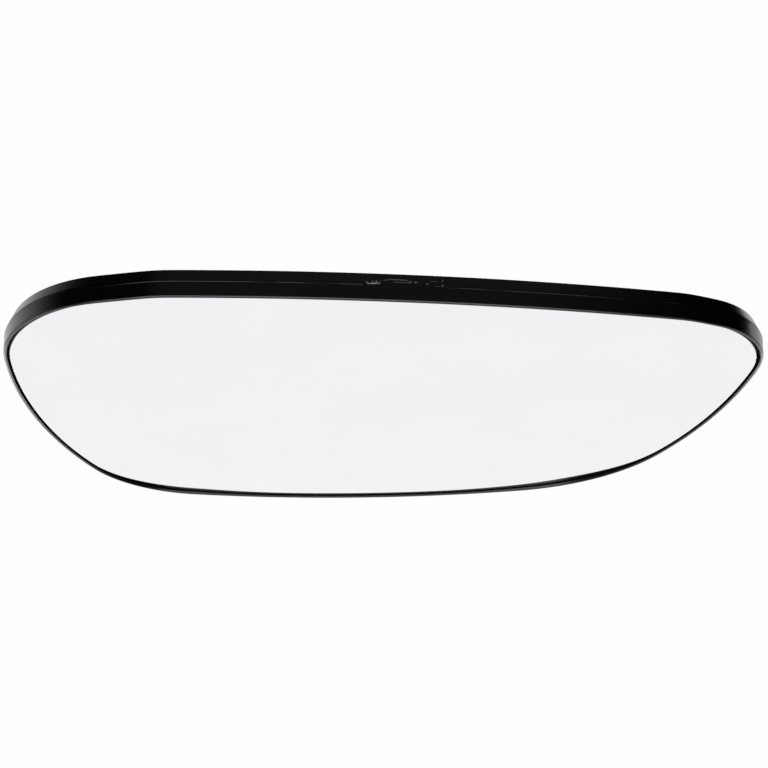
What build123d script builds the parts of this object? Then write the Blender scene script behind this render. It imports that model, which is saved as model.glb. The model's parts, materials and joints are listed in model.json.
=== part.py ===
from build123d import *
import os

# Door mirror glass: convex glass, bonded with foam tape in a one-piece moulded backing plate.
# Millimetres. X points outboard, Y to the rear and Z up, so the glass looks along -Y.
# The origin is the middle of the pivot ring's mouth, at the back.

# Corners where the bowed sides would meet, as reaches along X and rises or drops along Z
INBOARD_TOP_REACH = 96.9
INBOARD_TOP_RISE = 52.3
INBOARD_BOTTOM_REACH = 74.0
INBOARD_BOTTOM_DROP = 64.8
OUTBOARD_BOTTOM_REACH = 62.5
OUTBOARD_BOTTOM_DROP = 57.5
OUTBOARD_TOP_REACH = 102.0
OUTBOARD_TOP_RISE = 37.5

# Shoulders in the top edge, along and out from the line between the two top corners
INBOARD_SHOULDER_IN = 38.7
INBOARD_SHOULDER_OUT = 15.9
OUTBOARD_SHOULDER_IN = 24.6
OUTBOARD_SHOULDER_OUT = 11.8

# How far each side bows out from the line between its two corners
INBOARD_BOW = 11.7
BOTTOM_BOW = 4.6
OUTBOARD_BOW = 8.2
OUTBOARD_SHOULDER_BOW = 0.5
TOP_BOW = 6.3
INBOARD_SHOULDER_BOW = 0.8

# Radius of each rounded corner
INBOARD_TOP_RADIUS = 38.3
INBOARD_BOTTOM_RADIUS = 32.8
OUTBOARD_BOTTOM_RADIUS = 53.8
OUTBOARD_TOP_RADIUS = 26.1
OUTBOARD_SHOULDER_RADIUS = 32.0
INBOARD_SHOULDER_RADIUS = 40.0

# Glass: its corners are rounder than the lip's, so the gap between them opens at the corners
MIRROR_RADIUS = 1400.0
GLASS_THICKNESS = 2.0
GLASS_GAP = 0.35
GLASS_CORNER_RELIEF = 2.0
GLASS_ARRIS = 0.3

# Foam tape, sticky on both sides, that bonds the glass to the plate
TAPE_THICKNESS = 0.8
TAPE_SETBACK = 6.0

# Plate: floor, lip round the glass, and skirt that slopes in behind the mould's parting line
FLOOR_THICKNESS = 2.0
LIP_WIDTH = 0.95
LIP_PROUD = 0.5
LIP_BEVEL = 0.3
PARTING_DEPTH = 4.2
PARTING_STEP = 0.2
PARTING_LAND = 0.5
SKIRT_BEHIND_FLOOR = 2.9
SKIRT_SLOPE_IN = 1.45
SKIRT_EDGE = 1.4

# Ribs on the back of the floor: spokes beside the hooks, and one that follows the outline
RIB_WIDTH = 1.4
RIB_BELOW_SKIRT = 0.6
OVAL_RIB_SETBACK = 15.0
FUSE_DEPTH = 0.5

# Ring that sits on the actuator's pivot, with a keyway that sets the glass upright
RING_BORE_RADIUS = 22.0
RING_WALL = 2.2
RING_HEIGHT = 9.0
RING_LEAD_IN = 0.6
KEYWAY_WIDTH = 6.0
KEYWAY_DEPTH = 4.5

# Snap hooks round the ring, each with a window in the floor that shapes its barb
HOOK_COUNT = 4
HOOK_GAP = 3.2
HOOK_WIDTH = 9.0
HOOK_THICKNESS = 1.8
HOOK_BEYOND_RING = 1.5
HOOK_BARB = 1.3
HOOK_BARB_LAND = 0.6
HOOK_RAMP = 2.4
WINDOW_CLEARANCE = 0.4

# Two sockets that snap on the balls of the actuator's drive screws
SOCKET_REACH = 42.0
SOCKET_BORE_RADIUS = 4.1
SOCKET_WALL = 1.9
SOCKET_BELOW_RING = 1.0
SOCKET_LEAD_IN = 0.4
SOCKET_DEPTH = 3.6
SOCKET_SLOT = 1.1
GUSSET_WIDTH = 1.4
GUSSET_LENGTH = 4.5
GUSSET_BELOW_SOCKET = 2.5

# Depths behind the front of the glass, measured square to it
tape_front = GLASS_THICKNESS
floor_front = tape_front + TAPE_THICKNESS
floor_middle = floor_front + FLOOR_THICKNESS / 2
floor_back = floor_front + FLOOR_THICKNESS
parting = PARTING_DEPTH - LIP_PROUD
skirt_back = floor_back + SKIRT_BEHIND_FLOOR
rib_back = skirt_back - RIB_BELOW_SKIRT

# The ring's mouth lies at Y 0, so the front of the glass stands this far along Y
glass_front_y = -(RING_HEIGHT + floor_back)
prism_reach = 3 * (RING_HEIGHT + skirt_back)
ring_outer_radius = RING_BORE_RADIUS + RING_WALL
hook_radius = ring_outer_radius + HOOK_GAP
hook_back_radius = hook_radius + HOOK_THICKNESS
skirt_inner_inset = PARTING_STEP + SKIRT_SLOPE_IN + SKIRT_EDGE
glass_inset = LIP_WIDTH + GLASS_GAP
socket_outer_radius = SOCKET_BORE_RADIUS + SOCKET_WALL

# Angles about the ring, from outboard towards up; the sockets stand outboard and below
socket_angles = [0, 270]
hook_angles = [360 * (n + 0.5) / HOOK_COUNT for n in range(HOOK_COUNT)]
rib_angles = [360 * (n + side) / HOOK_COUNT for n in range(HOOK_COUNT) for side in (0, 0.25, 0.75)]


def inset_arc(edge, inset):
    """The same arc on a smaller circle about the same centre."""
    middle = edge.arc_center
    keep = 1 - inset / edge.radius
    return ThreePointArc(*[middle + (edge @ along - middle) * keep for along in (0, 0.5, 1)])


def outline(inset=0.0, relief=0.0):
    """Face of six bowed sides with rounded corners, set in from the lip's outer edge."""
    inboard_top = (-INBOARD_TOP_REACH, INBOARD_TOP_RISE)
    inboard_bottom = (-INBOARD_BOTTOM_REACH, -INBOARD_BOTTOM_DROP)
    outboard_bottom = (OUTBOARD_BOTTOM_REACH, -OUTBOARD_BOTTOM_DROP)
    outboard_top = (OUTBOARD_TOP_REACH, OUTBOARD_TOP_RISE)
    top_line = Line(inboard_top, outboard_top)
    outward = (top_line % 0).rotate(Axis.Z, 90)
    inboard_shoulder = top_line.position_at(INBOARD_SHOULDER_IN, PositionMode.LENGTH)
    outboard_shoulder = top_line.position_at(top_line.length - OUTBOARD_SHOULDER_IN, PositionMode.LENGTH)
    corners = [
        inboard_top,
        inboard_bottom,
        outboard_bottom,
        outboard_top,
        outboard_shoulder + outward * OUTBOARD_SHOULDER_OUT,
        inboard_shoulder + outward * INBOARD_SHOULDER_OUT,
    ]
    bows = [INBOARD_BOW, BOTTOM_BOW, OUTBOARD_BOW, OUTBOARD_SHOULDER_BOW, TOP_BOW, INBOARD_SHOULDER_BOW]
    radii = [
        INBOARD_TOP_RADIUS,
        INBOARD_BOTTOM_RADIUS,
        OUTBOARD_BOTTOM_RADIUS,
        OUTBOARD_TOP_RADIUS,
        OUTBOARD_SHOULDER_RADIUS,
        INBOARD_SHOULDER_RADIUS,
    ]
    ends = corners[1:] + corners[:1]
    face = make_face([SagittaArc(a, b, -bow) for a, b, bow in zip(corners, ends, bows)])
    for corner, radius in zip(corners, radii):
        point = face.vertices().sort_by_distance(corner)[0]
        face = fillet(point, radius + relief)
    return Plane.XZ * make_face([inset_arc(edge, inset) for edge in face.edges()])


def ball(depth):
    """Everything behind the sphere that lies this deep behind the front of the glass."""
    centre = glass_front_y + MIRROR_RADIUS
    return Pos(0, centre, 0) * Sphere(MIRROR_RADIUS - depth)


def domed(face, front, back):
    """A face's prism along Y, kept between the spheres at two depths."""
    prism = extrude(face, amount=prism_reach, both=True)
    return (prism & ball(front)) - ball(back)


def domed_face(solid, which):
    """The front (0) or back (-1) sphere of a domed solid."""
    return solid.faces().filter_by(GeomType.SPHERE).sort_by(Axis.Y)[which]


def post(sketch, below_mouth=0.0):
    """A sketch carried forward into the floor, from a plane this far in from the ring's mouth."""
    return extrude(Plane.XZ.offset(below_mouth) * sketch, amount=prism_reach) & ball(floor_middle)


def turned(angle):
    """Turn about the ring's axis, from the X axis towards the Z axis."""
    return Rot(0, -angle, 0)


def mirror_glass():
    """Convex glass with a ground arris round its front."""
    glass = domed(outline(glass_inset, GLASS_CORNER_RELIEF), 0, GLASS_THICKNESS)
    return chamfer(domed_face(glass, 0).edges(), GLASS_ARRIS)


def adhesive_tape():
    """Foam tape, die cut to the glass's outline and set back from its edge."""
    return domed(outline(glass_inset + TAPE_SETBACK, GLASS_CORNER_RELIEF), tape_front, floor_front)


def tray():
    """Domed floor with the lip round its front and the sloping skirt round its back."""
    front_band = domed(outline(), -LIP_PROUD, parting)
    front_band = chamfer(domed_face(front_band, 0).edges(), LIP_BEVEL)
    rear_band = domed(outline(PARTING_STEP), parting, skirt_back)
    rear_face = domed_face(rear_band, -1)
    slope_depth = skirt_back - parting - PARTING_LAND
    rear_band = chamfer(rear_face.edges(), SKIRT_SLOPE_IN, slope_depth, reference=rear_face)
    seat = domed(outline(LIP_WIDTH), -LIP_PROUD - FLOOR_THICKNESS, floor_front)
    recess = domed(outline(skirt_inner_inset), floor_back, skirt_back + FLOOR_THICKNESS)
    return front_band + rear_band - seat - recess


def ribs():
    """Spokes from the ring to the skirt, and a rib that follows the outline."""
    spoke_length = INBOARD_TOP_REACH + OUTBOARD_TOP_REACH
    spoke = Pos(spoke_length / 2, 0) * Rectangle(spoke_length, RIB_WIDTH)
    spokes = Sketch() + [Rot(0, 0, angle) * spoke for angle in rib_angles]
    spokes = Plane.XZ * (spokes - Circle(ring_outer_radius - FUSE_DEPTH))
    spokes &= outline(skirt_inner_inset - FUSE_DEPTH)
    oval = outline(OVAL_RIB_SETBACK) - outline(OVAL_RIB_SETBACK + RIB_WIDTH)
    return domed(spokes, floor_middle, rib_back) + domed(oval, floor_middle, rib_back)


def pivot_ring():
    """Plain round wall with a lead-in at its mouth and a keyway at the top."""
    ring = post(Circle(ring_outer_radius) - Circle(RING_BORE_RADIUS))
    lead_in = Cone(RING_BORE_RADIUS, RING_BORE_RADIUS + RING_LEAD_IN, RING_LEAD_IN)
    ring -= Pos(0, -RING_LEAD_IN / 2, 0) * Rot(-90, 0, 0) * lead_in
    keyway = Box(KEYWAY_WIDTH, 2 * KEYWAY_DEPTH, 2 * RING_WALL)
    return ring - Pos(0, 0, RING_BORE_RADIUS + RING_WALL / 2) * keyway


def snap_hook():
    """Tongue with an outward barb and a ramped tip, standing outboard of the ring."""
    foot_y = -(RING_HEIGHT + FLOOR_THICKNESS)
    barb_y = HOOK_BEYOND_RING - HOOK_RAMP - HOOK_BARB_LAND
    profile = Polyline(
        (hook_radius, foot_y),
        (hook_back_radius, foot_y),
        (hook_back_radius, barb_y),
        (hook_back_radius + HOOK_BARB, barb_y),
        (hook_back_radius + HOOK_BARB, barb_y + HOOK_BARB_LAND),
        (hook_back_radius - HOOK_THICKNESS / 2, HOOK_BEYOND_RING),
        (hook_radius, HOOK_BEYOND_RING),
        close=True,
    )
    return extrude(make_face(profile), amount=HOOK_WIDTH / 2, both=True) & ball(floor_middle)


def hook_window():
    """Opening through the floor under a hook's barb."""
    length = HOOK_BARB + WINDOW_CLEARANCE
    width = HOOK_WIDTH + 2 * WINDOW_CLEARANCE
    opening = Box(length, 4 * FLOOR_THICKNESS, width)
    return Pos(hook_back_radius + length / 2, -(RING_HEIGHT + FLOOR_THICKNESS / 2), 0) * opening


def drive_socket():
    """Slotted cup for a drive screw's ball, with gussets, standing outboard of the ring."""
    mouth_y = -SOCKET_BELOW_RING
    cup = post(Circle(socket_outer_radius), SOCKET_BELOW_RING)
    gusset_span = 2 * (socket_outer_radius + GUSSET_LENGTH)
    cup += post(Rectangle(GUSSET_WIDTH, gusset_span), SOCKET_BELOW_RING + GUSSET_BELOW_SOCKET)
    bore = extrude(Plane.XZ.offset(SOCKET_BELOW_RING) * Circle(SOCKET_BORE_RADIUS), amount=SOCKET_DEPTH)
    bore += Pos(0, mouth_y - SOCKET_DEPTH, 0) * Sphere(SOCKET_BORE_RADIUS)
    lead_in = Cone(SOCKET_BORE_RADIUS, SOCKET_BORE_RADIUS + SOCKET_LEAD_IN, SOCKET_LEAD_IN)
    bore += Pos(0, mouth_y - SOCKET_LEAD_IN / 2, 0) * Rot(-90, 0, 0) * lead_in
    slot = Box(3 * socket_outer_radius, 2 * SOCKET_DEPTH, SOCKET_SLOT)
    slots = [Pos(0, mouth_y, 0) * turned(angle) * slot for angle in (45, 135)]
    return cup, bore + slots


def backing_plate():
    """The whole moulding: tray, ribs, pivot ring, snap hooks and drive sockets."""
    cup, cup_cut = drive_socket()
    sockets = [turned(angle) * Pos(SOCKET_REACH, 0, 0) for angle in socket_angles]
    hooks = [turned(angle) * snap_hook() for angle in hook_angles]
    plate = tray() + ribs() + pivot_ring() + hooks + [place * cup for place in sockets]
    windows = [turned(angle) * hook_window() for angle in hook_angles]
    return plate - windows - [place * cup_cut for place in sockets]


if __name__ == "__main__":
    os.makedirs("parts", exist_ok=True)
    export_step(mirror_glass(), "parts/mirror_glass.step")
    export_step(adhesive_tape(), "parts/adhesive_tape.step")
    export_step(backing_plate(), "parts/backing_plate.step")
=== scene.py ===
"""Door mirror glass: convex glass in a moulded backing plate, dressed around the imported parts.

Run in Blender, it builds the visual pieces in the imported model's own frame, in metres: X points
outboard, Y to the rear and Z up, and the glass looks along -Y.
"""

import json
import math

import bmesh
import bpy
import numpy as np
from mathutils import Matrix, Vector
from mathutils.geometry import convex_hull_2d


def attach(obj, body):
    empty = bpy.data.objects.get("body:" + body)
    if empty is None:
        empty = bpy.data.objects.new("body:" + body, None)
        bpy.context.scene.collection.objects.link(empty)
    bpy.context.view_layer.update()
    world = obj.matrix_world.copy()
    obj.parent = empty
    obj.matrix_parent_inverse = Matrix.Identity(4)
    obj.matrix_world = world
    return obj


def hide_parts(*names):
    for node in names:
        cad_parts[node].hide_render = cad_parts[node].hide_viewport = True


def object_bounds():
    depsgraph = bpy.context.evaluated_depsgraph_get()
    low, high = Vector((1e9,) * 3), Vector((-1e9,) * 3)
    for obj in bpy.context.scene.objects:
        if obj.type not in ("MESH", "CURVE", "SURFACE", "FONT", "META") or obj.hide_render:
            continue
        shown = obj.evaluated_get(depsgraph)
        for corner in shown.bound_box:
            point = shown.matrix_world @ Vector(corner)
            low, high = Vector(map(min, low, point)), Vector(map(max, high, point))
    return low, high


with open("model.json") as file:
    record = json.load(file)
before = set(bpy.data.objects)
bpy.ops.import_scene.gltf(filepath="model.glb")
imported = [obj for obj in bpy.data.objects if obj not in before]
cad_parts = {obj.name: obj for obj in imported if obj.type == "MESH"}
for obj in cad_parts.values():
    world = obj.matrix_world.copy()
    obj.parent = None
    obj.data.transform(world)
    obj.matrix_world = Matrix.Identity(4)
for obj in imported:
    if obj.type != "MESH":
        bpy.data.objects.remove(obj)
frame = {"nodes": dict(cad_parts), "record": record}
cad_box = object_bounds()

bl_info = {
    "name": "Door Mirror Glass",
    "version": (1, 0, 0),
    "blender": (4, 5, 0),
    "location": "3D View > Sidebar > Door Mirror",
    "description": "Builds a door mirror glass and its backing plate around the packed parts",
    "category": "Object",
}

MM = 0.001
BODY = "root"

# How finely the surfaces are divided
OUTLINE_STEPS = 420
SCAN_STEPS = 20 * OUTLINE_STEPS
RIB_STEPS = 240
DISC_STEPS = 9
CORNER_STEPS = 6
TURN_STEPS = 24
RING_STEPS = 96
SPOKE_STEPS = 16
BORE_STEPS = 60
FLOOR_STEPS = 3
MERGE_DISTANCE = 1e-6
HULL_MERGE = 0.4 * MM

# Edges turn sharp above the first angle, and the mirror coat ends at the second, from the front
SHARP_ANGLE = math.radians(40)
COAT_ANGLE = math.radians(30)

# Greatest sine of the angle from a notch's middle to its flank, and where spokes stand in each
# quarter turn
MOST_LEAN = 0.35
SPOKE_SHARES = (0, 0.25, 0.75)

# Where the front of the glass lies deeper than its dome, or, where negative, less deep: outboard,
# up, reach and depth, all in millimetres
GLASS_DIPS = [
    (-60.0, -61.0, 17.0, 0.28),
    (52.0, -53.0, 19.0, 0.41),
    (88.0, -22.0, 26.0, -0.25),
    (-89.0, -32.0, 22.0, -0.2),
]

# Where a trimmed moulding gate left its scar: strokes as start and end, outboard and behind the
# parting line, with half width and height, all in millimetres
SCAR_STROKES = [
    (-4.3, 0.9, -3.8, 0.2, 0.16, 0.10),
    (-3.8, 0.2, -1.8, 0.4, 0.20, 0.12),
    (-2.7, 1.0, -2.5, 0.2, 0.16, 0.12),
    (-1.8, 1.2, -1.3, 0.3, 0.18, 0.13),
    (-0.8, 1.2, -0.8, 0.4, 0.12, 0.08),
    (0.1, 1.5, 1.8, 1.9, 0.14, 0.07),
    (1.8, 1.9, 6.0, 1.8, 0.16, 0.08),
    (2.8, 1.0, 6.6, 0.9, 0.12, 0.06),
    (6.6, 1.3, 6.9, 1.2, 0.20, 0.12),
    (7.9, 1.2, 8.3, 1.2, 0.18, 0.11),
    (10.8, 0.8, 11.1, 0.8, 0.18, 0.11),
    (11.8, 1.7, 13.2, 1.8, 0.12, 0.045),
    (14.8, 2.4, 14.9, 2.1, 0.16, 0.09),
    (14.8, 2.1, 14.8, 0.6, 0.10, 0.012),
    (14.8, 0.5, 14.9, 0.3, 0.16, 0.09),
    (12.6, 0.1, 14.4, 0.2, 0.10, 0.025),
]
SCAR_STEP = 0.1 * MM
SCAR_MARGIN = 1.0 * MM
SCAR_DEPTH = 2.6 * MM
SCUFF_GAIN = 1.4
SCUFF_DULL = 0.4

# How far the satin plastic's roughness strays to either side, how much lighter the palest patches
# of the finishes are, and how deep their grain is
SATIN_SPREAD = 0.04
EDGE_PALER, PLASTIC_PALER, FOAM_PALER, FLOOR_PALER = 2.0, 1.6, 1.8, 0.99
EDGE_GRAIN, PLASTIC_GRAIN, FOAM_GRAIN = 0.02 * MM, 0.006 * MM, 0.05 * MM

# Places of the colour mixing node's sockets
MIX_SHARE, MIX_FIRST, MIX_SECOND, MIX_RESULT = 0, 6, 7, 2

# How unevenly the ridge at the parting line is worn: waves round the outline, as count and share
FLASH_WAVES = [(11, 0.1), (29, 0.1)]

# Lamps: place, point that each is turned to, and size, in metres, with the setting for its power
LAMPS = [
    ("key", (-0.15, -1.3, 1.2), (0.0, 0.0, 0.0), (2.4, 1.5), "key_power"),
    ("rear", (0.0, 1.4, -0.72), (0.0, 0.0, 0.0), (0.8, 0.3), "rear_power"),
    ("low_inboard", (-0.4, -0.17, -0.6), (-0.4, -0.17, 0.0), (0.3, 0.24), "low_power"),
    ("low_outboard", (0.4, -0.17, -0.6), (0.4, -0.17, 0.0), (0.3, 0.24), "low_power"),
]

# Surroundings: whether both sides of the strip's middle are alike, shares of a direction's X, Y
# and Z, their sums where the level starts to fall and where it ends, and the level
SURROUNDINGS = [
    (False, (0.0, 0.6, 1.0), -0.55, -0.3, 1.0),
    (False, (0.42, 0.25, 1.0), -0.62, 0.0, 0.75),
    (True, (1.0, 0.27, 0.0), 0.51, 0.575, 0.085),
]
STRIP_MIDDLE = (0.035, 0.0, 0.0)
FLOOR_WHITE = 0.985
SENSOR_WIDTH = 36.0
CLIP_START, CLIP_END = 0.01, 100.0


def length(name, description, millimetres):
    """A size property, given in millimetres and held in metres."""
    return bpy.props.FloatProperty(
        name=name, description=description, default=millimetres * MM,
        min=0.0, precision=5, unit="LENGTH",
    )


def colour(name, description, value):
    """A colour property."""
    return bpy.props.FloatVectorProperty(
        name=name, description=description, default=value, size=3, min=0.0, max=1.0, subtype="COLOR"
    )


def factor(name, description, value):
    """A property from 0 to 1."""
    return bpy.props.FloatProperty(
        name=name, description=description, default=value, min=0.0, max=1.0, subtype="FACTOR"
    )


def power(name, description, watts):
    """A lamp's power property."""
    return bpy.props.FloatProperty(
        name=name, description=description, default=watts, min=0.0, unit="POWER"
    )


class GlassSettings(bpy.types.PropertyGroup):
    """Sizes and finish of the convex mirror glass."""

    dome_radius: length("Dome radius", "Radius of the sphere that the glass is part of", 1400.0)
    thickness: length("Thickness", "Thickness of the glass", 2.0)
    arris: length("Arris", "Width of the bevel round the glass's front", 0.3)
    edge_round: length("Edge rounding", "Small rounding of the ground edges", 0.06)
    coat: colour("Mirror coat", "Colour of the mirror coat", (0.893, 0.893, 0.908))
    edge: colour("Ground edge", "Colour of the glass's edge and back", (0.02, 0.024, 0.023))
    roughness: factor("Roughness", "Roughness of the clean mirror coat", 0.02)
    smudge: factor("Smudge", "How much the wiped patches dull the coat", 0.025)


class PlateSettings(bpy.types.PropertyGroup):
    """Sizes and finish of the moulded backing plate's rim."""

    tape: length("Tape thickness", "Thickness of the foam tape", 0.8)
    floor: length("Floor thickness", "Thickness of the plate's floor", 2.0)
    lip_width: length("Lip width", "Width of the lip round the glass", 0.95)
    lip_proud: length("Lip height", "How far the lip stands in front of the glass", 0.7)
    lip_round: length("Lip rounding", "Rounding of the lip's outer edge", 0.55)
    lip_inner_round: length("Lip inner rounding", "Rounding of the lip's inner edge", 0.3)
    parting: length("Parting line", "How far the parting line lies behind the glass's front", 3.7)
    parting_step: length("Parting step", "How far the skirt steps in at the parting line", 0.2)
    parting_land: length("Parting land", "Straight land behind the parting line", 0.5)
    parting_round: length("Parting rounding", "Rounding of the edge at the parting line", 0.04)
    flash_height: length("Flash height", "Height of the fine ridge along the parting line", 0.054)
    flash_width: length("Flash width", "Width of that ridge", 0.2)
    skirt_height: length("Skirt height", "How far the skirt stands behind the floor", 2.9)
    skirt_slope: length("Skirt slope", "How far the skirt slopes in towards the back", 1.45)
    skirt_edge: length("Skirt edge", "Width of the skirt's back edge", 1.4)
    skirt_round: length("Skirt rounding", "Rounding of the skirt's back edges", 0.35)
    plastic: colour("Plastic", "Colour of the black plastic", (0.001, 0.001, 0.0011))
    roughness: factor("Roughness", "Roughness of the satin plastic", 0.24)
    dull_back: factor("Dull back", "How much rougher rearward faces are", 0.24)
    scuffed: colour("Scuffed plastic", "Colour where the gate was trimmed", (0.3, 0.3, 0.3))


class BackSettings(bpy.types.PropertyGroup):
    """Sizes of what stands on the back of the plate."""

    rib_width: length("Rib width", "Width of a rib", 1.4)
    rib_below_skirt: length("Rib setback", "How far the ribs stay below the skirt's edge", 0.6)
    rib_round: length("Rib rounding", "Rounding of a rib's edges", 0.25)
    oval_setback: length("Oval rib setback", "Distance of the oval rib from the outline", 15.0)
    ring_wall: length("Ring wall", "Wall of the pivot ring", 2.2)
    ring_lead_in: length("Ring lead-in", "Bevel at the mouth of the pivot ring", 0.6)
    keyway_width: length("Keyway width", "Width of the ring's notch", 6.0)
    keyway_depth: length("Keyway depth", "Depth of the ring's notch", 4.5)
    hook_gap: length("Hook gap", "Gap between the ring and a snap hook", 3.2)
    hook_width: length("Hook width", "Width of a snap hook", 9.0)
    hook_thickness: length("Hook thickness", "Thickness of a snap hook's tongue", 1.8)
    hook_reach: length("Hook reach", "How far a hook stands beyond the ring's mouth", 1.5)
    hook_barb: length("Hook barb", "How far a hook's barb stands out", 1.3)
    barb_land: length("Barb land", "Flat on the outside of a barb", 0.6)
    barb_ramp: length("Barb ramp", "Length of the ramp at a hook's tip", 2.4)
    window_clearance: length("Window clearance", "Room round a barb in its window", 0.4)
    socket_wall: length("Socket wall", "Wall of a drive socket", 1.9)
    socket_drop: length("Socket drop", "How far a socket's mouth lies below the ring's", 1.0)
    socket_lead_in: length("Socket lead-in", "Bevel at a socket's mouth", 0.4)
    socket_depth: length("Socket depth", "Depth of a socket to the middle of its ball", 3.6)
    socket_slot: length("Socket slot", "Width of a socket's slots", 1.1)
    gusset_width: length("Gusset width", "Width of a socket's gusset", 1.4)
    gusset_length: length("Gusset length", "Reach of a gusset from its socket", 4.5)
    gusset_drop: length("Gusset drop", "How far a gusset stays below its socket's mouth", 2.5)
    edge_round: length("Edge rounding", "Rounding of the moulded edges", 0.25)


class TapeSettings(bpy.types.PropertyGroup):
    """Finish of the foam tape."""

    foam: colour("Foam", "Colour of the foam tape", (0.055, 0.055, 0.057))
    roughness: factor("Roughness", "Roughness of the foam tape", 0.85)


class StageSettings(bpy.types.PropertyGroup):
    """Floor, lamps and camera."""

    floor_drop: length("Floor drop", "How far the floor lies below the part", 600.0)
    floor_left: length("Floor to the left", "How far the floor reaches inboard", 1500.0)
    floor_right: length("Floor to the right", "How far the floor reaches outboard", 1900.0)
    floor_front: length("Floor to the front", "How far the floor reaches to the front", 3000.0)
    floor_rear: length("Floor to the rear", "How far the floor reaches to the rear", 850.0)
    floor: colour("Floor", "Colour of the floor", (0.92, 0.92, 0.92))
    distance: length("Camera distance", "Distance of the camera from its target", 700.0)
    target_height: length("Camera target", "Height of that target above the ring's axis", 17.08)
    target_outboard: length("Camera offset", "How far outboard the camera's target lies", 0.15)
    tilt: bpy.props.FloatProperty(
        name="Camera tilt", description="Angle between the line of sight and the glass",
        default=math.radians(24.5), subtype="ANGLE",
    )
    focal: bpy.props.FloatProperty(
        name="Focal length", description="Focal length for a 36 mm sensor",
        default=123.66, min=1.0, unit="CAMERA",
    )
    key_power: power("Key lamp", "Power of the large lamp in front", 28.0)
    rear_power: power("Rear lamp", "Power of the low lamp behind", 6.0)
    low_power: power("Low lamps", "Power of each lamp below the ends", 0.7)


# Shapes


def mesh_points(mesh):
    """A mesh's vertices, one row each."""
    points = np.empty(3 * len(mesh.vertices), np.float32)
    mesh.vertices.foreach_get("co", points)
    return points.reshape(-1, 3).astype(float)


def linked(name, data):
    """Object in the scene for a mesh, a lamp or a camera."""
    made = bpy.data.objects.new(name, data)
    bpy.context.scene.collection.objects.link(made)
    return made


def unit(vectors):
    """Vectors, one row each, brought to length 1."""
    return vectors / np.linalg.norm(vectors, axis=1)[:, None]


def sense(line):
    """1 for a closed line that runs anticlockwise, and -1 for one that runs clockwise."""
    after = np.roll(line, -1, axis=0)
    return np.sign(np.sum(line[:, 0] * after[:, 1] - line[:, 1] * after[:, 0]))


def closed_spline(knots, steps):
    """Points and unit tangents of a closed cubic spline, at shares of its chord length from 0 to 1.

    Between two knots a point is their weighted mean plus the spline's bend at each, taken with the
    cubic weights (w^3 - w) / 6. The bends solve the equations for equal slopes on both sides of
    every knot, and those equations wrap round at the end.
    """
    chord = np.roll(knots, -1, axis=0) - knots
    span = np.linalg.norm(chord, axis=1)
    slope = chord / span[:, None]
    before = np.roll(span, 1)
    here = np.arange(len(knots))
    system = np.diag(2 * (span + before))
    system[here, (here + 1) % len(knots)] += span
    system[here, here - 1] += before
    bend = np.linalg.solve(system, 6 * (slope - np.roll(slope, 1, axis=0)))
    ends = np.concatenate([[0.0], np.cumsum(span)])
    place = np.asarray(steps) * ends[-1]
    i = np.searchsorted(ends, place, side="right") - 1
    j = (i + 1) % len(knots)
    size = span[i][:, None]
    v = ((place - ends[i]) / span[i])[:, None]
    u = 1 - v
    points = u * knots[i] + v * knots[j]
    points += size**2 / 6 * ((u**3 - u) * bend[i] + (v**3 - v) * bend[j])
    tangents = slope[i] + size / 6 * ((1 - 3 * u**2) * bend[i] + (3 * v**2 - 1) * bend[j])
    return points, unit(tangents)


def node_outline(node, steps):
    """Points and outward normals of a node's outline in the XZ plane, anticlockwise from the front.

    The outline is the convex hull of the node's vertices seen along Y, with near neighbours merged
    to their mean, joined by a closed spline.
    """
    flat = mesh_points(frame["nodes"][node].data)[:, [0, 2]]
    hull = flat[convex_hull_2d(flat.tolist())]
    if sense(hull) < 0:
        hull = hull[::-1]
    gap = np.linalg.norm(hull - np.roll(hull, 1, axis=0), axis=1)
    group = np.cumsum(gap > HULL_MERGE) - 1
    group %= group.max() + 1
    knots = np.stack([np.bincount(group, axis) / np.bincount(group) for axis in hull.T], axis=1)
    points, tangents = closed_spline(knots, steps)
    return points, np.stack([tangents[:, 1], -tangents[:, 0]], axis=1)


def dome_front(radius):
    """Y of the dome's foremost point, from the glass's own front vertices."""
    x, y, z = mesh_points(frame["nodes"]["mirror_glass"].data).T
    return (y - radius + np.sqrt(radius**2 - x**2 - z**2)).min()


def on_dome(flat, depth, glass):
    """Points over the XZ plane set on the sphere at a depth behind the front of the glass."""
    radius = glass.dome_radius
    level = dome_front(radius) + radius - np.sqrt((radius - depth) ** 2 - (flat**2).sum(axis=-1))
    return np.stack([flat[..., 0], level, flat[..., 1]], axis=-1)


def rounded(corners, radii, closed=False):
    """Polyline through corners, each turned by an arc of its own radius.

    An arc's middle lies on the line that halves its corner, radius / sin(half angle) from it, and
    the arc swings from the foot on one side to the foot on the other.
    """
    corners = np.asarray(corners, float)
    radii = np.asarray(radii, float)[:, None]
    before = unit(np.roll(corners, 1, axis=0) - corners)
    after = unit(np.roll(corners, -1, axis=0) - corners)
    half = np.arccos(np.clip((before * after).sum(axis=1), -1, 1))[:, None] / 2
    middle = unit(before + after)
    foot = radii / np.tan(half)
    centre = corners + middle * radii / np.sin(half)
    first = corners + before * foot - centre
    last = corners + after * foot - centre
    swing = (math.pi - 2 * half)[:, None]
    share = np.linspace(0, 1, CORNER_STEPS)[None, :, None]
    arcs = np.sin((1 - share) * swing) * first[:, None] + np.sin(share * swing) * last[:, None]
    arcs = centre[:, None] + arcs / np.sin(swing)
    if closed:
        return arcs.reshape(-1, 2)
    return np.concatenate([corners[:1], arcs[1:-1].reshape(-1, 2), corners[-1:]])


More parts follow.
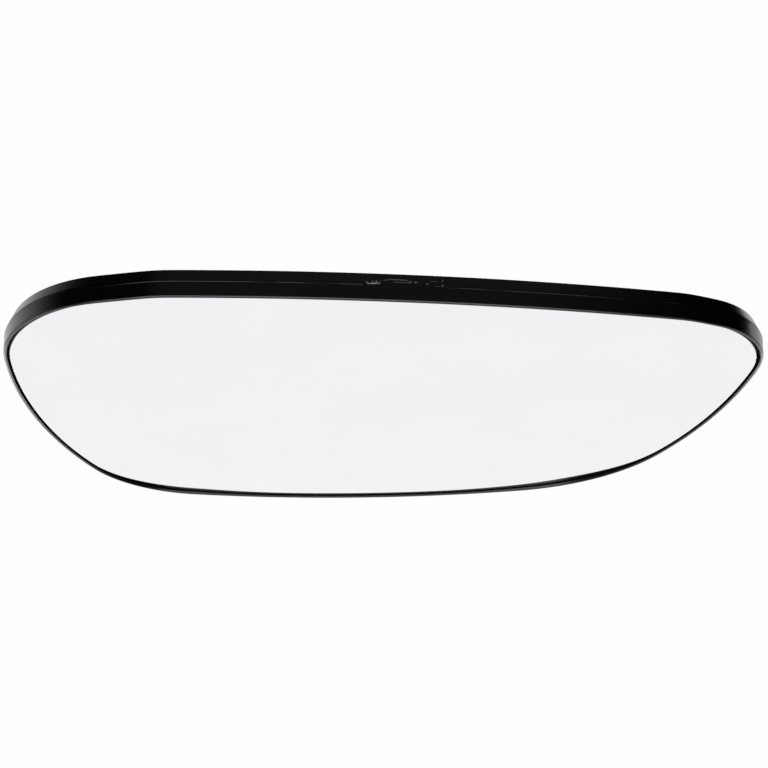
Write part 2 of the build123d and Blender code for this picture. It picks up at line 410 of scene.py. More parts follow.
def subdivided(line, longest):
    """A polyline with each part cut into even steps no longer than its own limit."""
    part = np.diff(line, axis=0)
    count = np.maximum(1, np.ceil(np.linalg.norm(part, axis=1) / longest)).astype(int)
    which = np.repeat(np.arange(len(part)), count)
    step = np.arange(count.sum()) - np.repeat(np.cumsum(count) - count, count)
    points = line[which] + part[which] * (step / count[which])[:, None]
    return np.concatenate([points, line[-1:]])


def carried(points, normals, profile, glass, least=0.0):
    """Grid of a profile carried round an outline: inset along the normal, and depth behind the dome.

    No inset is less than the least one, which may differ from point to point of the outline.
    """
    inset = np.maximum(profile[None, :, 0], np.reshape(least, (-1, 1)))
    flat = points[:, None] - normals[:, None] * inset[..., None]
    return on_dome(flat, profile[:, 1], glass)


def disc(rim, depth, glass):
    """Grid on the dome from its middle out to a rim, whose points are drawn in by even steps."""
    share = np.linspace(0, 1, DISC_STEPS, endpoint=False)
    return on_dome(rim[:, None, [0, 2]] * share[None, :, None], depth, glass)


def domed_shell(points, normals, profile, glass, least=0.0):
    """Closed shell with a profile from the front floor round the rim to the back, and both discs."""
    rim = carried(points, normals, profile, glass, least)
    front = disc(rim[:, 0], profile[0, 1], glass)
    back = disc(rim[:, -1], profile[-1, 1], glass)[:, ::-1]
    return np.concatenate([front, rim, back], axis=1)


def capped(grid):
    """A grid of closed sections with both ends drawn together at their middles."""
    ends = [np.broadcast_to(grid[n].mean(axis=0), grid[n].shape)[None] for n in (0, -1)]
    return np.concatenate([ends[0], grid, ends[1]])


def placed(outwards, level, sideways, angle):
    """Points given outwards from the ring's axis, along Y and sideways, turned from X towards Z."""
    x = outwards * math.cos(angle) - sideways * math.sin(angle)
    z = outwards * math.sin(angle) + sideways * math.cos(angle)
    return np.stack(np.broadcast_arrays(x, level, z), axis=-1)


def bar(profile, width, bevel, angle):
    """Shell of a closed profile, outwards and along Y, drawn sideways, with bevelled ends."""
    along = unit(np.roll(profile, -1, axis=0) - np.roll(profile, 1, axis=0))
    inner = profile + sense(profile) * bevel * np.stack([-along[:, 1], along[:, 0]], axis=1)
    sections = np.stack([inner, profile, profile, inner])
    sideways = np.array([-width / 2, bevel - width / 2, width / 2 - bevel, width / 2])[:, None]
    return capped(placed(sections[..., 0], sections[..., 1], sideways, angle))


def turned(profile, notches, half_width, notch_level, steps):
    """Profile of radius and level turned about its axis: outwards, level and sideways.

    Between two notches the wall runs from one notch's flank to the next one's. A flank lies at the
    notch's angle plus or minus arcsin(half width / radius), so that both flanks are parallel. In a
    notch the profile is pressed down to the notch's level, so its flanks stand upright.
    """
    radius, level = profile.T
    lean = np.arcsin(np.minimum(half_width / np.maximum(radius, MERGE_DISTANCE), MOST_LEAN))
    angles, levels = [], []
    for start, end in zip(notches, notches[1:] + [notches[0] + 2 * math.pi]):
        share = np.linspace(0, 1, steps)[:, None]
        angles += [start + lean + share * (end - start - 2 * lean)]
        levels += [np.broadcast_to(level, (steps, len(level)))]
        share = np.linspace(-1, 1, CORNER_STEPS)[:, None]
        angles += [end + share * lean]
        levels += [np.broadcast_to(np.minimum(level, notch_level), (CORNER_STEPS, len(level)))]
    angles, levels = np.concatenate(angles), np.concatenate(levels)
    return radius * np.cos(angles), levels, radius * np.sin(angles)


def grid_faces(rows, columns, wrap_rows, wrap_columns):
    """Quads between neighbours of a grid whose points are numbered row by row."""
    i, j = np.meshgrid(
        np.arange(rows if wrap_rows else rows - 1),
        np.arange(columns if wrap_columns else columns - 1),
        indexing="ij",
    )
    i, j = i.ravel(), j.ravel()
    below, right = (i + 1) % rows, (j + 1) % columns
    corners = [i * columns + j, i * columns + right, below * columns + right, below * columns + j]
    return np.stack(corners, axis=1)


def shells_mesh(name, shells):
    """Mesh of several closed shells, each a grid with its wraps along rows and columns.

    Points that coincide, as at poles and drawn-together ends, are merged, and faces turned outwards.
    """
    points, faces, start = [], [], 0
    for grid, wrap_rows, wrap_columns in shells:
        rows, columns = grid.shape[:2]
        points.append(grid.reshape(-1, 3))
        faces.append(grid_faces(rows, columns, wrap_rows, wrap_columns) + start)
        start += rows * columns
    mesh = bpy.data.meshes.new(name)
    mesh.from_pydata(np.concatenate(points).tolist(), [], np.concatenate(faces).tolist())
    made = bmesh.new()
    made.from_mesh(mesh)
    bmesh.ops.remove_doubles(made, verts=made.verts, dist=MERGE_DISTANCE)
    bmesh.ops.recalc_face_normals(made, faces=made.faces)
    made.to_mesh(mesh)
    made.free()
    return mesh


def joined(name, meshes):
    """One mesh of several."""
    made = bmesh.new()
    for mesh in meshes:
        made.from_mesh(mesh)
    mesh = bpy.data.meshes.new(name)
    made.to_mesh(mesh)
    made.free()
    return mesh


def cut(mesh, tool):
    """Mesh with another closed mesh taken out of it."""
    pair = [linked(each.name, each) for each in (mesh, tool)]
    taken = pair[0].modifiers.new("taken out", "BOOLEAN")
    taken.object, taken.operation, taken.solver = pair[1], "DIFFERENCE", "EXACT"
    graph = bpy.context.evaluated_depsgraph_get()
    result = bpy.data.meshes.new_from_object(pair[0].evaluated_get(graph))
    for each in pair:
        bpy.data.objects.remove(each)
    return result


def finished_piece(name, mesh, materials, node):
    """Object for a finished mesh: smooth but for its sharp edges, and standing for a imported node."""
    mesh.shade_smooth()
    mesh.set_sharp_from_angle(angle=SHARP_ANGLE)
    for material in materials:
        mesh.materials.append(material)
    piece = linked(name, mesh)
    piece.modifiers.new("even shading", "WEIGHTED_NORMAL").keep_sharp = True
    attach(piece, BODY)
    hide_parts(node)
    return piece


# Mirror glass


def glass_mesh(glass):
    """Convex glass: two spheres joined by a ground edge, with an arris round the front."""
    points, normals = node_outline("mirror_glass", np.arange(OUTLINE_STEPS) / OUTLINE_STEPS)
    arris, thickness, small = glass.arris, glass.thickness, glass.edge_round
    reach = 4 * thickness
    corners = [(reach, 0), (arris, 0), (0, arris), (0, thickness), (reach, thickness)]
    radii = [0, small, small, 2 * small, 0]
    grid = domed_shell(points, normals, rounded(corners, radii), glass)
    depth = grid[..., 1] - on_dome(grid[..., [0, 2]], 0.0, glass)[..., 1]
    grid[..., 1] += glass_dip(grid) * np.clip(1 - depth / thickness, 0, 1)
    return shells_mesh("convex_mirror_glass", [(grid, True, False)])


def glass_dip(grid):
    """How far the front of the glass lies behind its dome: a sum of bells, each at its place."""
    dip = np.zeros(grid.shape[:2])
    for x, z, reach, depth in GLASS_DIPS:
        away = np.hypot(grid[..., 0] / MM - x, grid[..., 2] / MM - z)
        dip += depth * MM * np.exp(-((away / reach) ** 2))
    return dip


def mark_front(mesh):
    """Give the second material to every face of the glass that doesn't look forward."""
    normals = np.empty(3 * len(mesh.polygons), np.float32)
    mesh.polygons.foreach_get("normal", normals)
    looks_away = normals.reshape(-1, 3)[:, 1] > -math.cos(COAT_ANGLE)
    mesh.polygons.foreach_set("material_index", looks_away.astype(np.int32))


# Backing plate


def plate_depths(glass, plate, back):
    """Depths behind the front of the glass, and the level of the floor's middle, as a foot."""
    floor_front = glass.thickness + plate.tape
    floor_middle = floor_front + plate.floor / 2
    floor_back = floor_front + plate.floor
    skirt_back = floor_back + plate.skirt_height
    return {
        "floor_front": floor_front,
        "floor_middle": floor_middle,
        "floor_back": floor_back,
        "parting": plate.parting,
        "skirt_back": skirt_back,
        "rib_back": skirt_back - back.rib_below_skirt,
        "foot": dome_front(glass.dome_radius) + floor_middle,
    }


def skirt_inset(plate):
    """How far the skirt's inner wall lies in from the outline."""
    return plate.parting_step + plate.skirt_slope + plate.skirt_edge


def tray_profile(plate, depths):
    """Inset and depth round the rim, from the floor's front over the lip and skirt to its back.

    The ridge at the parting line reaches the outline, and the wall lies in from it by the ridge's
    height. Each corner is given with its rounding.
    """
    reach = 2 * plate.skirt_edge
    inner = skirt_inset(plate)
    wall = plate.flash_height
    parting, small = depths["parting"], plate.parting_round
    corners = np.array([
        (plate.lip_width + reach, depths["floor_front"], 0),
        (plate.lip_width, depths["floor_front"], plate.lip_inner_round),
        (plate.lip_width, -plate.lip_proud, plate.lip_inner_round),
        (wall, -plate.lip_proud, plate.lip_round),
        (wall, parting - plate.flash_width, small),
        (0, parting - plate.flash_width / 2, small),
        (0, parting, small),
        (plate.parting_step, parting, small),
        (plate.parting_step, parting + plate.parting_land, plate.parting_land / 2),
        (plate.parting_step + plate.skirt_slope, depths["skirt_back"], plate.skirt_round),
        (inner, depths["skirt_back"], plate.skirt_round),
        (inner, depths["floor_back"], plate.skirt_round),
        (inner + reach, depths["floor_back"], 0),
    ])
    profile = rounded(corners[:, :2], corners[:, 2])
    middle = (profile[1:] + profile[:-1]) / 2
    scarred = (middle[:, 1] > parting) & (middle[:, 1] < parting + SCAR_DEPTH)
    scarred &= middle[:, 0] < plate.parting_step + plate.skirt_slope
    return subdivided(profile, np.where(scarred, SCAR_STEP, plate.skirt_height))


def scar_span():
    """Least and greatest X of the gate's scar."""
    ends = [stroke[k] for stroke in SCAR_STROKES for k in (0, 2)]
    return min(ends) * MM - SCAR_MARGIN, max(ends) * MM + SCAR_MARGIN


def trimmed_flash(points, plate):
    """How far the ridge at the parting line is cut back at each point of the outline.

    It is gone where the gate was trimmed. Elsewhere it loses a share of its height wherever a sum of
    waves along the angle about the ring's axis is above zero.
    """
    low, high = scar_span()
    x, up = points.T
    angle = np.arctan2(up, x)
    worn = sum(share * np.sin(count * angle) for count, share in FLASH_WAVES)
    gate = np.clip(np.minimum(x - low, high - x) / SCAR_MARGIN, 0, 1) * (up > 0)
    return plate.flash_height * np.maximum(worn, gate)


def outline_steps():
    """Even shares of the outline, with close ones along the top edge where the gate's scar is."""
    even = np.arange(OUTLINE_STEPS) / OUTLINE_STEPS
    fine = np.arange(SCAN_STEPS) / SCAN_STEPS
    points = node_outline("backing_plate", fine)[0]
    low, high = scar_span()
    along = fine[(points[:, 1] > 0) & (points[:, 0] > low) & (points[:, 0] < high)]
    close = np.linspace(along.min(), along.max(), int((high - low) / SCAR_STEP))
    clear = even[(even < along.min()) | (even > along.max())]
    return np.sort(np.concatenate([clear, close]))


def rib_section(near, far, back, depths):
    """Closed section of a rib between two sides, from the middle of the floor to its rounded top."""
    low, high = depths["floor_middle"], depths["rib_back"]
    corners = [(near, low), (near, high), (far, high), (far, low)]
    return rounded(corners, [0, back.rib_round, back.rib_round, 0], closed=True)


def spoke(angle, points, normals, plate, back, depths, glass):
    """Rib from the ring to the skirt: a rounded section carried out along one angle on the dome."""
    fuse = plate.floor / 4
    wall = points - normals * (skirt_inset(plate) - fuse)
    bearing = np.arctan2(wall[:, 1], wall[:, 0])
    order = np.argsort(bearing)
    turn = math.remainder(angle, 2 * math.pi)
    end = np.interp(turn, bearing[order], np.linalg.norm(wall[order], axis=1), period=2 * math.pi)
    start = ring_radius() + back.ring_wall - fuse
    outwards = np.linspace(start, end, SPOKE_STEPS)[:, None]
    section = rib_section(-back.rib_width / 2, back.rib_width / 2, back, depths)
    flat = placed(outwards, 0, section[:, 0], angle)[..., [0, 2]]
    return capped(on_dome(flat, section[:, 1], glass))


def oval_rib(points, normals, back, depths, glass):
    """Rib that follows the outline: a rounded section carried all the way round."""
    section = rib_section(back.oval_setback, back.oval_setback + back.rib_width, back, depths)
    return carried(points, normals, section, glass)


def mount(name):
    """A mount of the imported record."""
    return next(each for each in frame["record"]["mounts"] if each["name"] == name)


def ring_radius():
    """Radius of the pivot ring's bore."""
    return mount("pivot_ring")["dims"]["r_mm"] * MM


def pivot_ring(back, depths):
    """Round wall with a lead-in at its mouth and a keyway at the top."""
    bore = ring_radius()
    outer = bore + back.ring_wall
    foot = depths["foot"]
    lead_in, small = back.ring_lead_in, back.edge_round
    corners = [(outer, foot), (outer, 0), (bore + lead_in, 0), (bore, -lead_in), (bore, foot)]
    profile = rounded(corners, [0, small, small / 2, small, 0], closed=True)
    outwards, level, sideways = turned(
        profile, [math.pi / 2], back.keyway_width / 2, -back.keyway_depth, RING_STEPS
    )
    return placed(outwards, level, sideways, 0)


def hook_back(back):
    """Distance of a snap hook's outer face from the ring's axis."""
    return ring_radius() + back.ring_wall + back.hook_gap + back.hook_thickness


def snap_hook(angle, back, depths):
    """Tongue with an outward barb and a ramped tip."""
    outer = hook_back(back)
    inner = outer - back.hook_thickness
    foot = depths["foot"]
    barb = back.hook_reach - back.barb_ramp - back.barb_land
    tip = outer + back.hook_barb
    corners = [
        (inner, foot), (outer, foot), (outer, barb), (tip, barb), (tip, barb + back.barb_land),
        (outer - back.hook_thickness / 2, back.hook_reach), (inner, back.hook_reach),
    ]
    small = back.edge_round
    profile = rounded(corners, [small] * len(corners), closed=True)
    return bar(profile, back.hook_width, small, angle)


def hook_window(angle, plate, back, depths, glass):
    """Block that cuts the opening through the floor under a hook's barb."""
    size = back.hook_barb + back.window_clearance
    outer = hook_back(back)
    front = dome_front(glass.dome_radius)
    low, high = front + depths["floor_front"] - plate.floor, front + depths["rib_back"]
    profile = np.array([(outer, low), (outer + size, low), (outer + size, high), (outer, high)])
    return bar(profile, back.hook_width + 2 * back.window_clearance, back.edge_round, angle)


def socket_seat(name, back):
    """X, Z and bore of a drive socket, and the levels of its mouth and of its ball's middle."""
    seat = mount(name)
    x, _, z = seat["pos_m"]
    mouth = -back.socket_drop
    return x, z, seat["dims"]["r_mm"] * MM, mouth, mouth - back.socket_depth


def drive_socket(name, back, depths, glass):
    """Shells of a slotted cup for a drive screw's ball, and of the gusset across it."""
    x, z, bore, mouth, ball = socket_seat(name, back)
    reach, angle = math.hypot(x, z), math.atan2(z, x)
    outer = bore + back.socket_wall
    foot = on_dome(np.array([x, z]), depths["floor_middle"], glass)[1]
    lead_in, small = back.socket_lead_in, back.edge_round
    corners = [
        (0, foot), (outer, foot), (outer, mouth),
        (bore + lead_in, mouth), (bore, mouth - lead_in), (bore, ball),
    ]
    wall = rounded(corners, [0, 0, small, small / 2, small, 0])
    swing = np.linspace(0, math.pi / 2, TURN_STEPS)[1:]
    cup = np.stack([bore * np.cos(swing), ball - bore * np.sin(swing)], axis=1)
    profile = np.concatenate([wall, cup])
    notches = [math.radians(45 + 90 * n) for n in range(4)]
    outwards, level, sideways = turned(profile, notches, back.socket_slot / 2, ball, TURN_STEPS)
    cup_shell = placed(outwards + reach, level, sideways, angle)
    half = back.gusset_width / 2
    top = mouth - back.gusset_drop
    corners = [(reach - half, foot), (reach + half, foot), (reach + half, top), (reach - half, top)]
    profile = rounded(corners, [small] * len(corners), closed=True)
    span = 2 * (outer + back.gusset_length)
    return (cup_shell, True, False), (bar(profile, span, small, angle), False, True)


def socket_bore(name, back):
    """Plug that clears a drive socket out to the middle of its wall: a cylinder on a half ball."""
    x, z, bore, _, ball = socket_seat(name, back)
    radius = bore + back.socket_wall / 2
    swing = np.linspace(0, math.pi / 2, TURN_STEPS)
    rim = np.concatenate([[0, radius], radius * np.cos(swing)])
    level = np.concatenate([[radius, radius], ball - radius * np.sin(swing)])
    angle = np.linspace(0, 2 * math.pi, BORE_STEPS, endpoint=False)[:, None]
    circle = x + rim * np.cos(angle), level, z + rim * np.sin(angle)
    return np.stack(np.broadcast_arrays(*circle), axis=-1)


def scar_height(points, outline, depths, glass):
    """Height of the gate's scar over each point, in metres.

    Every stroke is a ridge that falls off as a bell with the distance from its line, measured
    outboard and behind the parting line. Only points close to the top edge are raised.
    """
    top = outline[outline[:, 1] > 0]
    top = top[np.argsort(top[:, 0])]
    parting = on_dome(top, depths["parting"], glass)[:, 1]
    x = points[:, 0]
    behind = points[:, 1] - np.interp(x, top[:, 0], parting)
    below = np.interp(x, top[:, 0], top[:, 1]) - points[:, 2]
    place = np.stack([x, behind], axis=1) / MM
    height = np.zeros(len(points))
    for x0, y0, x1, y1, half, rise in SCAR_STROKES:
        start, line = np.array([x0, y0]), np.array([x1 - x0, y1 - y0])
        share = np.clip((place - start) @ line / (line @ line), 0, 1)
        away = np.linalg.norm(place - start - share[:, None] * line, axis=1)
        height = np.maximum(height, rise * np.exp(-((away / half) ** 2)))
    return np.where((below < SCAR_DEPTH) & (behind > 0) & (behind < SCAR_DEPTH), height, 0) * MM


def plate_mesh(glass, plate, back):
    """The whole moulding: tray with its windows, ribs, pivot ring, snap hooks and drive sockets."""
    depths = plate_depths(glass, plate, back)
    points, normals = node_outline("backing_plate", outline_steps())
    profile, worn = tray_profile(plate, depths), trimmed_flash(points, plate)
    tray = shells_mesh("tray", [(domed_shell(points, normals, profile, glass, worn), True, False)])
    raise_scar(tray, points, depths, glass)
    quarter = math.pi / 2
    hook_angles = [quarter * (n + 0.5) for n in range(4)]
    windows = [
        (hook_window(angle, plate, back, depths, glass), False, True) for angle in hook_angles
    ]
    tray = cut(tray, shells_mesh("windows", windows))
    even, facing = node_outline("backing_plate", np.arange(RIB_STEPS) / RIB_STEPS)
    shells = [(oval_rib(even, facing, back, depths, glass), True, True)]
    shells += [(pivot_ring(back, depths), True, True)]
    shells += [(snap_hook(angle, back, depths), False, True) for angle in hook_angles]
    crossed = [
        (spoke(quarter * (n + share), points, normals, plate, back, depths, glass), False, True)
        for n in range(4)
        for share in SPOKE_SHARES
    ]
    sockets = ("drive_socket_outboard", "drive_socket_lower")
    for name in sockets:
        cup, gusset = drive_socket(name, back, depths, glass)
        shells.append(cup)
        crossed.append(gusset)
    bores = shells_mesh("bores", [(socket_bore(name, back), True, False) for name in sockets])
    standing = [cut(shells_mesh("crossed", [each]), bores) for each in crossed]
    mesh = joined("moulded_backing_plate", [tray, shells_mesh("standing", shells), *standing])
    mark_scar(mesh, points, depths, glass)
    return mesh


def raise_scar(mesh, outline, depths, glass):
    """Raise the gate's scar on the top edge."""
    points = mesh_points(mesh)
    points[:, 2] += scar_height(points, outline, depths, glass)
    mesh.vertices.foreach_set("co", points.astype(np.float32).ravel())
    mesh.update()


def mark_scar(mesh, outline, depths, glass):
    """Store how far each point is scuffed, from 0 to 1, in the attribute that the plastic reads."""
    points = mesh_points(mesh)
    highest = max(stroke[-1] for stroke in SCAR_STROKES) * MM
    scuffed = np.clip(scar_height(points, outline, depths, glass) / highest * SCUFF_GAIN, 0, 1)
    attribute = mesh.attributes.new("scuffed", "FLOAT", "POINT")
    attribute.data.foreach_set("value", scuffed.astype(np.float32))


# Materials


def feed(tree, node, inputs):
    """Give a node's inputs their values, or link them where a socket is given."""
    for name, value in inputs.items():
        if isinstance(value, bpy.types.NodeSocket):
            tree.links.new(value, node.inputs[name])
        else:
            node.inputs[name].default_value = value


def add_node(tree, kind, inputs=None, **attributes):
    """A node in a tree, with its attributes and inputs set."""
    node = tree.nodes.new(kind)
    for name, value in attributes.items():
        setattr(node, name, value)
    feed(tree, node, inputs or {})
    return node


def mottle_group():
    """Node group: smooth noise on Object coordinates, spread between a low and a high value."""
    found = bpy.data.node_groups.get("mottle")
    if found:
        return found
    tree = bpy.data.node_groups.new("mottle", "ShaderNodeTree")
    for name, value in (("Scale", 100.0), ("Detail", 3.0), ("Low", 0.0), ("High", 1.0)):
        socket = tree.interface.new_socket(name, in_out="INPUT", socket_type="NodeSocketFloat")
        socket.default_value = value
    tree.interface.new_socket("Value", in_out="OUTPUT", socket_type="NodeSocketFloat")
    given = add_node(tree, "NodeGroupInput").outputs
    noise = add_node(tree, "ShaderNodeTexNoise", {
        "Vector": add_node(tree, "ShaderNodeTexCoord").outputs["Object"],
        "Scale": given["Scale"], "Detail": given["Detail"], "Roughness": 0.6,
    })
    spread = add_node(tree, "ShaderNodeMapRange", {
        "Value": noise.outputs["Fac"], "From Min": 0.3, "From Max": 0.7,
        "To Min": given["Low"], "To Max": given["High"],
    })
    add_node(tree, "NodeGroupOutput", {"Value": spread.outputs["Result"]})
    return tree


def add_mottle(tree, scale, low=0.0, high=1.0, detail=3.0):
    """The mottle group placed in a material; gives its value socket."""
    values = {"Scale": scale, "Detail": detail, "Low": low, "High": high}
    return add_node(tree, "ShaderNodeGroup", values, node_tree=mottle_group()).outputs["Value"]


def new_material(name):
    """An empty node material; gives it with its tree and its Principled shader."""
    material = bpy.data.materials.new(name)
    material.use_nodes = True
    tree = material.node_tree
    return material, tree, tree.nodes["Principled BSDF"]


def scaled(value, times):
    """A colour with every channel taken a number of times."""
    return tuple(times * channel for channel in value)


def mixed(tree, share, first, second):
    """Colour between two, by a share socket; gives the result's socket."""
    first, second = (
        each if isinstance(each, bpy.types.NodeSocket) else (*each, 1.0) for each in (first, second)
    )
    inputs = {MIX_SHARE: share, MIX_FIRST: first, MIX_SECOND: second}
    return add_node(tree, "ShaderNodeMix", inputs, data_type="RGBA").outputs[MIX_RESULT]


def bumped(tree, height, distance):
    """Normal socket of a bump from a height socket."""
    values = {"Height": height, "Strength": 1.0, "Distance": distance}
    return add_node(tree, "ShaderNodeBump", values).outputs["Normal"]


def worked_out(tree, operation, *values):
    """Socket with the result of a sum or comparison of values and sockets."""
    inputs = dict(enumerate(values))
    return add_node(tree, "ShaderNodeMath", inputs, operation=operation).outputs["Value"]


def mirror_coat(glass):
    """Front-coated mirror with faint wiped patches that dull it a little."""
    material, tree, shader = new_material("mirror_coat")
    patches = add_mottle(tree, scale=38.0, detail=5.0)
    hazed = glass.roughness + glass.smudge
    feed(tree, shader, {
        "Metallic": 1.0,
        "Base Color": mixed(tree, patches, glass.coat, scaled(glass.coat, 1 - glass.smudge)),
        "Roughness": add_mottle(tree, scale=70.0, low=glass.roughness, high=hazed, detail=4.0),
    })
    return material


def ground_edge(glass):
    """Dark ground glass of the edge, with the grain of the wheel."""
    material, tree, shader = new_material("ground_glass_edge")
    grain = add_mottle(tree, scale=900.0)
    feed(tree, shader, {
        "Base Color": mixed(tree, grain, glass.edge, scaled(glass.edge, EDGE_PALER)),
        "Roughness": add_mottle(tree, scale=1500.0, low=0.35, high=0.6),
        "Normal": bumped(tree, grain, EDGE_GRAIN),
    })
    return material


def satin_plastic(plate):
    """Black moulded plastic: satin with a fine grain, duller behind, pale where scuffed."""
    material, tree, shader = new_material("satin_black_plastic")
    scuffed = add_node(tree, "ShaderNodeAttribute", attribute_name="scuffed").outputs["Fac"]
    patches = add_mottle(tree, scale=45.0)
    plain = mixed(tree, patches, plate.plastic, scaled(plate.plastic, PLASTIC_PALER))
    low, high = plate.roughness - SATIN_SPREAD, plate.roughness + SATIN_SPREAD
    rough = add_mottle(tree, scale=120.0, low=low, high=high)
    normal = add_node(tree, "ShaderNodeNewGeometry").outputs["Normal"]
    facing = add_node(tree, "ShaderNodeSeparateXYZ", {"Vector": normal}).outputs["Y"]
    limits = {"Value": facing, "From Min": 0.5, "From Max": 0.8}
    behind = add_node(tree, "ShaderNodeMapRange", limits).outputs["Result"]
    rough = worked_out(tree, "MULTIPLY_ADD", scuffed, SCUFF_DULL, rough)
    rough = worked_out(tree, "MULTIPLY_ADD", behind, plate.dull_back, rough)
    grain = add_mottle(tree, scale=2600.0, detail=2.0)
    feed(tree, shader, {
        "IOR": 1.58,
        "Base Color": mixed(tree, scuffed, plain, plate.scuffed),
        "Roughness": rough,
        "Normal": bumped(tree, grain, PLASTIC_GRAIN),
    })
    return material


def foam_tape(tape):
    """Dark closed-cell foam."""
    material, tree, shader = new_material("foam_tape")
    cells = add_mottle(tree, scale=2200.0)
    smooth = tape.roughness - 0.1
    feed(tree, shader, {
        "Base Color": mixed(tree, cells, tape.foam, scaled(tape.foam, FOAM_PALER)),
        "Roughness": add_mottle(tree, scale=300.0, low=smooth, high=tape.roughness),
        "Normal": bumped(tree, cells, FOAM_GRAIN),
    })
    return material


# Stage


def pale_floor(stage):
    """White floor: plain paint that takes the shadow, mostly plain white where it is looked at."""
    material, tree, shader = new_material("pale_floor")
    patches = add_mottle(tree, scale=2.0)
    feed(tree, shader, {
        "Base Color": mixed(tree, patches, stage.floor, scaled(stage.floor, FLOOR_PALER)),
        "Roughness": 0.9,
    })
    path = add_node(tree, "ShaderNodeLightPath").outputs
    seen = worked_out(tree, "MAXIMUM", path["Is Camera Ray"], path["Is Glossy Ray"])
    seen = worked_out(tree, "MAXIMUM", seen, path["Is Transmission Ray"])
    mix = add_node(tree, "ShaderNodeMixShader", {
        0: worked_out(tree, "MULTIPLY", seen, FLOOR_WHITE),
        1: shader.outputs["BSDF"],
        2: add_node(tree, "ShaderNodeEmission").outputs["Emission"],
    })
    feed(tree, tree.nodes["Material Output"], {"Surface": mix.outputs["Shader"]})
    return material


def add_floor(stage):
    """Oblong floor below the part."""
    level = cad_box[0].z - stage.floor_drop
    across = np.linspace(-stage.floor_left, stage.floor_right, FLOOR_STEPS)
    along = np.linspace(-stage.floor_front, stage.floor_rear, FLOOR_STEPS)
    x, y = np.meshgrid(across, along, indexing="ij")
    grid = np.stack([x, y, np.full_like(x, level)], axis=-1)
    faces = grid_faces(FLOOR_STEPS, FLOOR_STEPS, False, False)
    mesh = bpy.data.meshes.new("floor")
    mesh.from_pydata(grid.reshape(-1, 3).tolist(), [], faces.tolist())
    mesh.materials.append(pale_floor(stage))
    floor = linked("floor", mesh)


def add_world():
    """Studio: white in front and low down, a dim strip overhead, and white to the camera.

    Each part of it is a level that falls off along one sum of a direction's X, Y and Z shares, and
    the brightest one is seen.
    """
    world = bpy.data.worlds.new("studio")
    bpy.context.scene.world = world
    world.use_nodes = True
    tree = world.node_tree
    place = add_node(tree, "ShaderNodeTexCoord").outputs["Generated"]
    vector_maths = "ShaderNodeVectorMath"
    middle = add_node(tree, vector_maths, {0: place, 1: STRIP_MIDDLE}, operation="SUBTRACT")
    sides = add_node(tree, vector_maths, {0: middle.outputs["Vector"]}, operation="ABSOLUTE")
    shown = add_node(tree, "ShaderNodeLightPath").outputs["Is Camera Ray"]
    for alike, shares, start, end, level in SURROUNDINGS:
        direction = sides.outputs["Vector"] if alike else place
        along = add_node(tree, vector_maths, {0: direction, 1: shares}, operation="DOT_PRODUCT")
        limits = {"From Min": start, "From Max": end, "To Min": level, "To Max": 0.0}
        limits["Value"] = along.outputs["Value"]
        fall = add_node(tree, "ShaderNodeMapRange", limits, interpolation_type="SMOOTHSTEP")
        shown = worked_out(tree, "MAXIMUM", shown, fall.outputs["Result"])
    feed(tree, tree.nodes["Background"], {"Color": shown})


def add_lamp(name, place, aim, size, watts):
    """Soft rectangular lamp at a place, turned to a point and unseen by the camera."""
    lamp = bpy.data.lights.new(name, "AREA")
    lamp.shape, lamp.energy = "RECTANGLE", watts
    lamp.size, lamp.size_y = size
    made = linked(name, lamp)
    made.location = place
    made.visible_camera = False
    made.rotation_euler = (Vector(aim) - Vector(place)).to_track_quat("-Z", "Y").to_euler()


def add_camera(stage):
    """Camera above the front of the glass, as in the photograph."""
    camera = bpy.data.cameras.new("camera")
    camera.lens, camera.sensor_width = stage.focal, SENSOR_WIDTH
    camera.clip_start, camera.clip_end = CLIP_START, CLIP_END
    made = linked("camera", camera)
    front = dome_front(bpy.context.scene.mirror_glass.dome_radius)
    target = Vector((stage.target_outboard, front, stage.target_height))
    back = Vector((0.0, -math.sin(stage.tilt), math.cos(stage.tilt)))
    made.location = target + back * stage.distance
    made.rotation_euler = (-back).to_track_quat("-Z", "Y").to_euler()
    bpy.context.scene.camera = made


# Operators and panel


class DOORMIRROR_OT_glass(bpy.types.Operator):
    """Build the convex mirror glass."""

    bl_idname = "doormirror.build_glass"
    bl_label = "Build Mirror Glass"

    def execute(self, context):
        glass = context.scene.mirror_glass
        mesh = glass_mesh(glass)
        finishes = [mirror_coat(glass), ground_edge(glass)]
        finished_piece("convex_mirror_glass", mesh, finishes, "mirror_glass")
        mark_front(mesh)
        return {"FINISHED"}


class DOORMIRROR_OT_plate(bpy.types.Operator):
    """Build the moulded backing plate."""

    bl_idname = "doormirror.build_plate"
    bl_label = "Build Backing Plate"

    def execute(self, context):
        scene = context.scene
        mesh = plate_mesh(scene.mirror_glass, scene.backing_plate, scene.plate_back)
        finishes = [satin_plastic(scene.backing_plate)]
        finished_piece("moulded_backing_plate", mesh, finishes, "backing_plate")
        return {"FINISHED"}


class DOORMIRROR_OT_tape(bpy.types.Operator):
    """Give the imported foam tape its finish."""

    bl_idname = "doormirror.finish_tape"
    bl_label = "Finish Foam Tape"

    def execute(self, context):
        tape = frame["nodes"]["adhesive_tape"]
        tape.material_slots[0].material = foam_tape(context.scene.foam_tape)
        return {"FINISHED"}


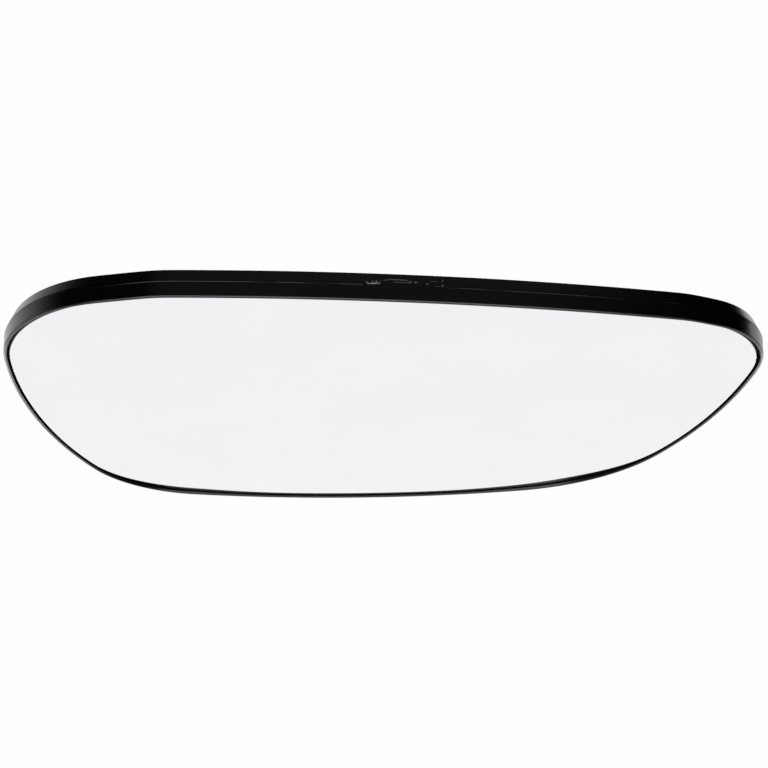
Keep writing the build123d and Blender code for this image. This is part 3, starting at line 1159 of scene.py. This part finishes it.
class DOORMIRROR_OT_stage(bpy.types.Operator):
    """Build the floor, the lamps and the camera."""

    bl_idname = "doormirror.build_stage"
    bl_label = "Build Stage"

    def execute(self, context):
        stage = context.scene.studio_stage
        add_floor(stage)
        add_world()
        for name, place, aim, size, setting in LAMPS:
            add_lamp(name, place, aim, size, getattr(stage, setting))
        add_camera(stage)
        return {"FINISHED"}


class DOORMIRROR_PT_panel(bpy.types.Panel):
    """Sizes, finishes and build steps of the door mirror glass."""

    bl_idname = "DOORMIRROR_PT_panel"
    bl_label = "Door Mirror Glass"
    bl_space_type = "VIEW_3D"
    bl_region_type = "UI"
    bl_category = "Door Mirror"

    def draw(self, context):
        for operator, names in STEPS:
            box = self.layout.box()
            box.operator(operator.bl_idname)
            for name in names:
                for setting in SETTINGS[name].__annotations__:
                    box.prop(getattr(context.scene, name), setting)


SETTINGS = {
    "mirror_glass": GlassSettings,
    "backing_plate": PlateSettings,
    "plate_back": BackSettings,
    "foam_tape": TapeSettings,
    "studio_stage": StageSettings,
}
STEPS = [
    (DOORMIRROR_OT_glass, ["mirror_glass"]),
    (DOORMIRROR_OT_plate, ["backing_plate", "plate_back"]),
    (DOORMIRROR_OT_tape, ["foam_tape"]),
    (DOORMIRROR_OT_stage, ["studio_stage"]),
]
CLASSES = [*SETTINGS.values(), *(operator for operator, _ in STEPS), DOORMIRROR_PT_panel]


def register():
    """Register the classes and hang the settings on the scene."""
    for each in CLASSES:
        bpy.utils.register_class(each)
    for name, group in SETTINGS.items():
        setattr(bpy.types.Scene, name, bpy.props.PointerProperty(type=group))


def unregister():
    """Take the settings and the classes away again."""
    for name in SETTINGS:
        delattr(bpy.types.Scene, name)
    for each in reversed(CLASSES):
        bpy.utils.unregister_class(each)


def main():
    register()
    bpy.context.scene.view_settings.view_transform = "Standard"
    bpy.ops.doormirror.build_glass()
    bpy.ops.doormirror.build_plate()
    bpy.ops.doormirror.finish_tape()
    bpy.ops.doormirror.build_stage()


if __name__ == "__main__":
    main()
